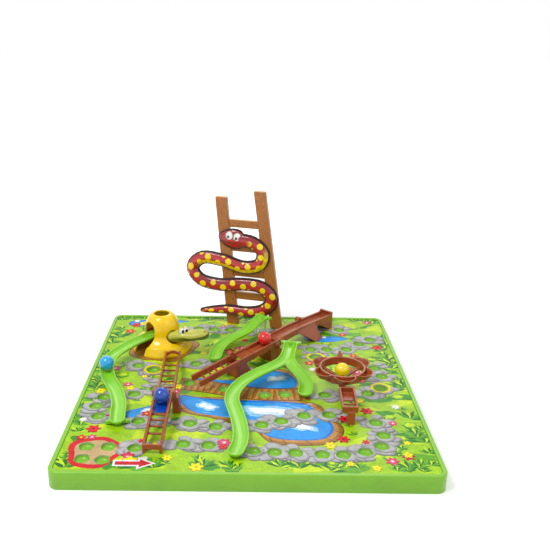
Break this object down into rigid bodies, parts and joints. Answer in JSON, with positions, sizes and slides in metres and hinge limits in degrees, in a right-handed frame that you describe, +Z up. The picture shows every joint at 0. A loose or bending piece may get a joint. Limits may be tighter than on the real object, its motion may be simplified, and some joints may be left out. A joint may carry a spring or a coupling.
{
  "type": "board_game",
  "caption": "Square snakes and ladders board with plastic slides, ladders, a dome, a flower wheel, balls and a standing ladder with a snake",
  "frame": {"origin": "Middle of the square on which the tray's side wall stands, in the plane of the table", "axes": "+X to the right along the front edge, +Y to the rear edge where the ladder stands, +Z up"},
  "size_m": [0.29, 0.29, 0.16],
  "materials": {
    "green_plastic": "glossy",
    "card_print": "satin",
    "yellow_plastic": "glossy",
    "olive_plastic": "glossy",
    "white_plastic": "glossy",
    "slide_plastic": "glossy",
    "clear_plastic": "clear",
    "brown_plastic": "glossy",
    "blue_flap_plastic": "glossy",
    "ball_blue_plastic": "glossy",
    "ball_red_plastic": "glossy",
    "ball_light_blue_plastic": "glossy",
    "ball_yellow_plastic": "glossy",
    "printed_wood": "satin",
    "black_board": "satin",
    "snake_print": "glossy"
  },
  "bodies": {
    "board": {"base_tray": "green_plastic", "printed_card": "card_print", "dome_shell": "yellow_plastic", "snake_head": "olive_plastic", "snake_eyes": "white_plastic", "dome_slide": "slide_plastic", "rear_slide": "slide_plastic", "rear_slide_post": "clear_plastic", "fork_slide": "slide_plastic", "fork_slide_post": "clear_plastic", "front_ladder": "brown_plastic", "front_pin": "brown_plastic", "upper_ladder": "brown_plastic", "long_ladder": "brown_plastic", "long_pin": "brown_plastic", "long_channel": "brown_plastic", "flower_stalk": "brown_plastic", "standee_left_rail": "printed_wood", "standee_right_rail": "printed_wood", "standee_rungs": "printed_wood", "snake_back": "black_board", "snake_body": "snake_print"},
    "front_flap_body": {"front_flap": "blue_flap_plastic"},
    "long_flap_body": {"long_flap": "brown_plastic"},
    "wheel": {"flower_wheel": "brown_plastic"},
    "blue": {"ball_blue": "ball_blue_plastic"},
    "red": {"ball_red": "ball_red_plastic"},
    "light_blue": {"ball_light_blue": "ball_light_blue_plastic"},
    "yellow": {"ball_yellow": "ball_yellow_plastic"}
  },
  "joints": [
    {"name": "front_flap_tilt", "type": "hinge", "parent": "board", "child": "front_flap_body", "pos_m": [-0.06902, -0.05974, 0.03093], "axis": [-0.9988, 0.049, 0], "range_deg": [0, 14]},
    {"name": "long_flap_tilt", "type": "hinge", "parent": "board", "child": "long_flap_body", "pos_m": [0.02202, 0.04842, 0.02806], "axis": [-0.7729, 0.6346, 0], "range_deg": [0, 14]},
    {"name": "wheel_spin", "type": "hinge", "parent": "board", "child": "wheel", "pos_m": [0.08207, -0.01769, 0.026], "axis": [0, 0, 1], "continuous": true},
    {"name": "blue_lift", "type": "slide", "parent": "front_flap_body", "child": "blue", "axis": [0, 0, 1], "range_m": [0, 0.06]},
    {"name": "red_lift", "type": "slide", "parent": "long_flap_body", "child": "red", "axis": [0, 0, 1], "range_m": [0, 0.06]},
    {"name": "light_blue_lift", "type": "slide", "parent": "board", "child": "light_blue", "axis": [0, 0, 1], "range_m": [0, 0.06]},
    {"name": "yellow_lift", "type": "slide", "parent": "wheel", "child": "yellow", "axis": [0, 0, 1], "range_m": [0, 0.06]}
  ]
}
